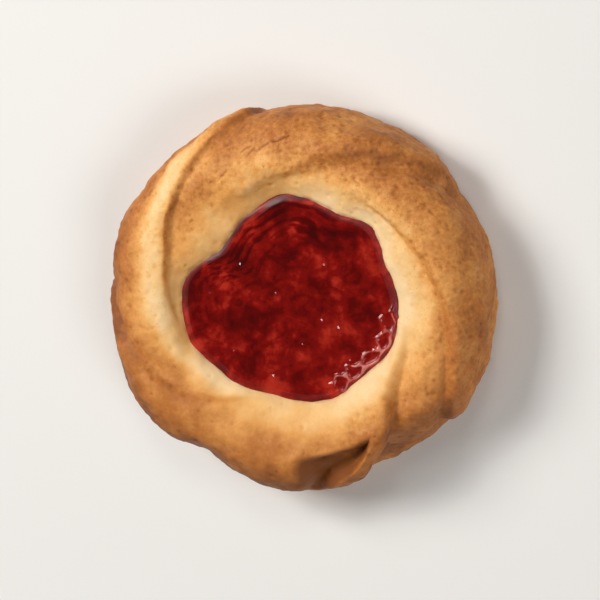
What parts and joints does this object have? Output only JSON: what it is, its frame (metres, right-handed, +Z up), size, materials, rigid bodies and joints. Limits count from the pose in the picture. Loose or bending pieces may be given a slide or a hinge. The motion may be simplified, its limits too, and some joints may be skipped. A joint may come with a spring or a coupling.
{
  "type": "strawberry jam cookie",
  "caption": "Round baked cookie piped as a swirled, ridged ring, with a pool of set strawberry jam in its middle and a flat underside.",
  "frame": {"origin": "middle of the cookie's box on its flat underside", "axes": "+Z up out of the jam, +X and +Y across the cookie; seen from above the piped creases turn clockwise on their way out, and the long rounded end of the piping lies near -Y"},
  "size_m": [0.0642, 0.0638, 0.0175],
  "materials": {
    "baked_dough": "matte, golden brown and slightly grainy, paler beside the jam",
    "strawberry_jam": "glossy, deep red and slightly clear"
  },
  "bodies": {
    "root": {"dough": "baked_dough", "jam": "strawberry_jam"}
  },
  "joints": []
}
